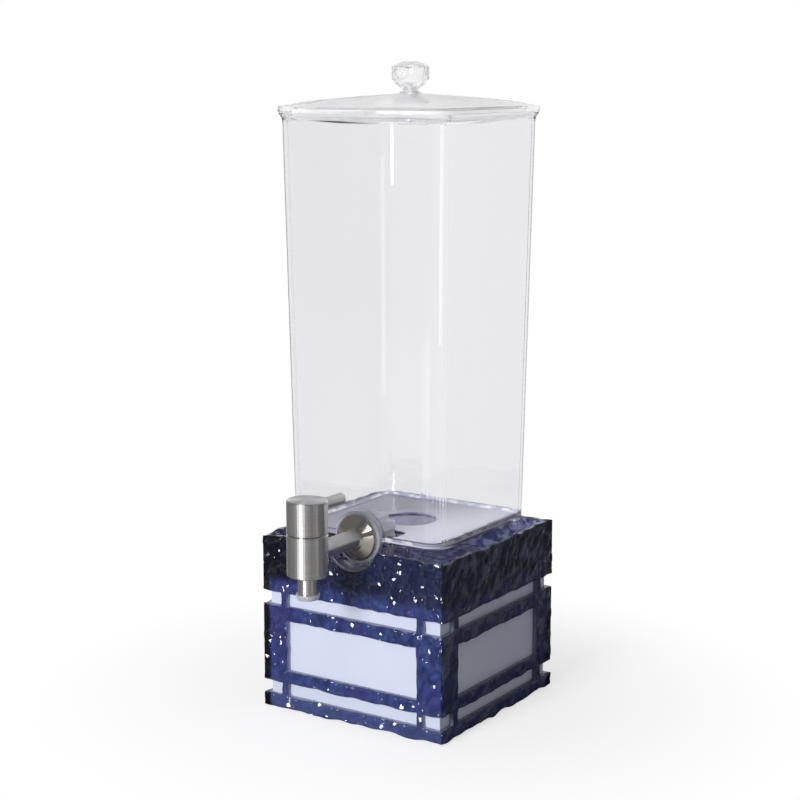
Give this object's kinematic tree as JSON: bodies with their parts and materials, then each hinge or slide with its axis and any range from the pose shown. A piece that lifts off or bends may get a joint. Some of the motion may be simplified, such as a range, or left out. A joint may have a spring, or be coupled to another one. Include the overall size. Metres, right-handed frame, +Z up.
{
  "type": "drink dispenser tower",
  "caption": "Clear square drink tank with a crowned lid and cut-crystal knob, standing in a hammered blue acrylic base with opal windows, served by a quarter-turn steel tap.",
  "frame": {"origin": "middle of the base's underside, on the surface that the dispenser stands on", "axes": "+Z up; -Y towards the person who draws a drink (the tap side); +X to that person's right"},
  "size_m": [0.2, 0.2797, 0.5957],
  "materials": {
    "hammered_acrylic": "deep blue acrylic with a hammered, ice-like surface, high gloss",
    "opal_acrylic": "opal white acrylic sheet, satin gloss",
    "clear_plastic": "clear moulded plastic, polished",
    "crystal_acrylic": "clear cut acrylic, polished facets",
    "steel": "turned and brushed stainless steel",
    "silicone": "translucent soft silicone",
    "nylon": "translucent moulded plastic",
    "brass": "turned brass",
    "ptfe": "white low-friction plastic",
    "nitrile": "black sealing rubber"
  },
  "bodies": {
    "base": {"side_plate_front": "hammered_acrylic", "side_plate_right": "hammered_acrylic", "side_plate_back": "hammered_acrylic", "side_plate_left": "hammered_acrylic", "base_deck": "hammered_acrylic", "opal_panel_front": "opal_acrylic", "opal_panel_right": "opal_acrylic", "opal_panel_back": "opal_acrylic", "opal_panel_left": "opal_acrylic", "base_floor": "opal_acrylic"},
    "tank": {"tank": "clear_plastic", "tap_body": "steel", "tap_shank": "steel", "outer_gasket": "silicone", "inner_gasket": "silicone", "lock_nut": "nylon", "outlet_tube": "steel", "outlet_o_ring": "nitrile", "nozzle_tip": "nylon", "valve_sleeve": "ptfe", "gland_nut": "brass"},
    "handle": {"handle_cap": "steel", "lever_pin": "steel", "valve_plug": "brass", "spindle_o_ring": "nitrile"},
    "lid": {"lid": "clear_plastic", "lid_knob": "crystal_acrylic", "knob_insert": "nylon", "knob_screw": "steel", "knob_washer": "steel"}
  },
  "joints": [
    {"name": "tank_lift", "type": "slide", "parent": "base", "child": "tank", "axis": [0, 0, 1], "range_m": [0, 0.06]},
    {"name": "handle_turn", "type": "hinge", "parent": "tank", "child": "handle", "pos_m": [0, -0.16156, 0.2], "axis": [0, 0, 1], "range_deg": [0, 90]},
    {"name": "lid_lift", "type": "slide", "parent": "tank", "child": "lid", "axis": [0, 0, 1], "range_m": [0, 0.06]}
  ]
}
